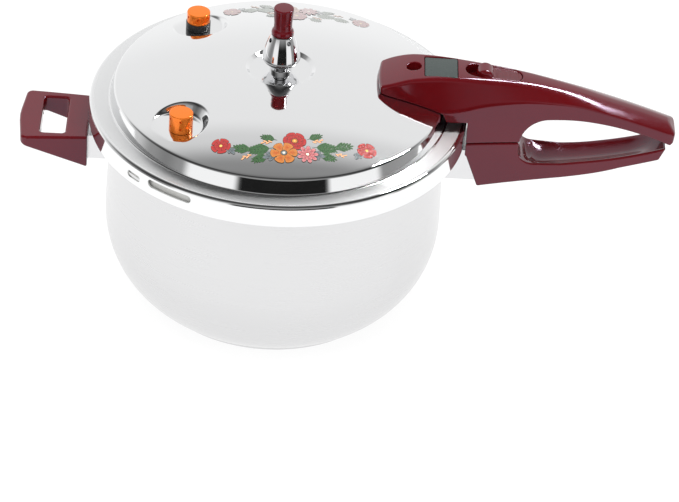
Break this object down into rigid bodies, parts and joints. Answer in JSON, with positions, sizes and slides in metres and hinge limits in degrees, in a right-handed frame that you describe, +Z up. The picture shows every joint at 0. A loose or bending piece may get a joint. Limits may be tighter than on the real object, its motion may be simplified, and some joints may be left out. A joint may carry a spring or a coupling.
{
  "type": "pressure canner",
  "caption": "Bellied steel pressure pot with a domed bayonet lid, long two-part handle with finger loop and lock slider, helper handle, jiggling weight and safety valves.",
  "frame": {"origin": "centre of the flat face that the pot stands on", "axes": "+X along the long handle, away from the pot; +Z up, along the pot and lid axis"},
  "size_m": [0.4177, 0.24, 0.2092],
  "materials": {
    "satin_steel": "satin polished stainless steel",
    "mirror_steel": "mirror polished stainless steel with printed flowers",
    "base_aluminium": "plain",
    "bracket_steel": "pressed and polished",
    "burgundy_plastic": "glossy burgundy phenolic moulding",
    "name_plate_grey": "glossy blank plate",
    "screw_steel": "zinc plated",
    "seal_rubber": "silicone rubber",
    "chrome_fittings": "polished chrome",
    "brass_inner": "turned",
    "orange_aluminium": "orange anodised",
    "black_plastic": "moulded",
    "spring_steel": "wire",
    "float_red": "moulded"
  },
  "bodies": {
    "pot": {"pot_shell": "satin_steel", "base_core_disc": "base_aluminium", "base_cap": "satin_steel", "pot_handle_bracket": "bracket_steel", "lower_handle": "burgundy_plastic", "lower_handle_screws": "screw_steel", "lower_handle_nuts": "screw_steel", "helper_bracket": "bracket_steel", "helper_handle": "burgundy_plastic", "helper_handle_screws": "screw_steel"},
    "seal": {"sealing_ring": "seal_rubber"},
    "lid": {"lid_shell": "mirror_steel", "vent_pipe": "chrome_fittings", "vent_washer": "seal_rubber", "vent_nut": "screw_steel", "vent_guard": "bracket_steel", "lid_handle_bracket": "bracket_steel", "upper_handle": "burgundy_plastic", "name_plate": "name_plate_grey", "handle_under_cover": "burgundy_plastic", "front_handle_screw": "screw_steel", "strap_screws": "screw_steel", "under_cover_screws": "screw_steel", "lock_leaf_spring": "spring_steel", "float_guide": "bracket_steel", "float_guide_nut": "screw_steel", "front_valve_body": "brass_inner", "front_valve_gasket": "seal_rubber", "front_valve_nut": "screw_steel", "front_valve_cap": "orange_aluminium", "front_valve_spring": "spring_steel", "rear_valve_body": "brass_inner", "rear_valve_gasket": "seal_rubber", "rear_valve_nut": "screw_steel", "rear_valve_cap": "orange_aluminium", "rear_valve_collar": "black_plastic", "rear_valve_spring": "spring_steel"},
    "regulator": {"weight_needle": "brass_inner"},
    "weight": {"weight_body": "chrome_fittings", "weight_knob": "burgundy_plastic"},
    "front_poppet": {"front_valve_poppet": "brass_inner"},
    "rear_poppet": {"rear_valve_poppet": "brass_inner"},
    "float": {"float_pin": "bracket_steel", "float_seal": "seal_rubber", "float_cap": "float_red"},
    "lock": {"lock_slider": "burgundy_plastic", "lock_cam_plate": "bracket_steel"},
    "lock_bolt": {"lock_pin": "bracket_steel", "lock_cross_pin": "screw_steel"}
  },
  "joints": [
    {"name": "lid_lift", "type": "slide", "parent": "pot", "child": "seal", "axis": [0, 0, 1], "range_m": [0, 0.12]},
    {"name": "lid_turn", "type": "hinge", "parent": "seal", "child": "lid", "pos_m": [0, 0, 0.1403], "axis": [0, 0, 1], "range_deg": [0, 30]},
    {"name": "weight_lift", "type": "slide", "parent": "lid", "child": "regulator", "axis": [0, 0, 1], "range_m": [0, 0.02]},
    {"name": "weight_spin", "type": "hinge", "parent": "regulator", "child": "weight", "pos_m": [0, 0, 0.18], "axis": [0, 0, 1], "continuous": true},
    {"name": "front_valve_lift", "type": "slide", "parent": "lid", "child": "front_poppet", "axis": [0, 0, 1], "range_m": [0, 0.0015], "stiffness_N_per_m": 1500, "springref_m": -0.003, "deforming": ["front_valve_spring"]},
    {"name": "rear_valve_lift", "type": "slide", "parent": "lid", "child": "rear_poppet", "axis": [0, 0, 1], "range_m": [0, 0.0015], "stiffness_N_per_m": 1500, "springref_m": -0.003, "deforming": ["rear_valve_spring"]},
    {"name": "float_rise", "type": "slide", "parent": "lid", "child": "float", "axis": [0, 0, 1], "range_m": [0, 0.004]},
    {"name": "lock_slide", "type": "slide", "parent": "lid", "child": "lock", "axis": [-1, 0, 0], "range_m": [0, 0.0065]},
    {"name": "lock_bolt_drop", "type": "slide", "parent": "lid", "child": "lock_bolt", "axis": [0, 0, -1], "range_m": [0, 0.006]}
  ],
  "couplings": [
    {"joint": "lock_bolt_drop", "follows": "lock_slide", "ratio": 0.92308}
  ]
}
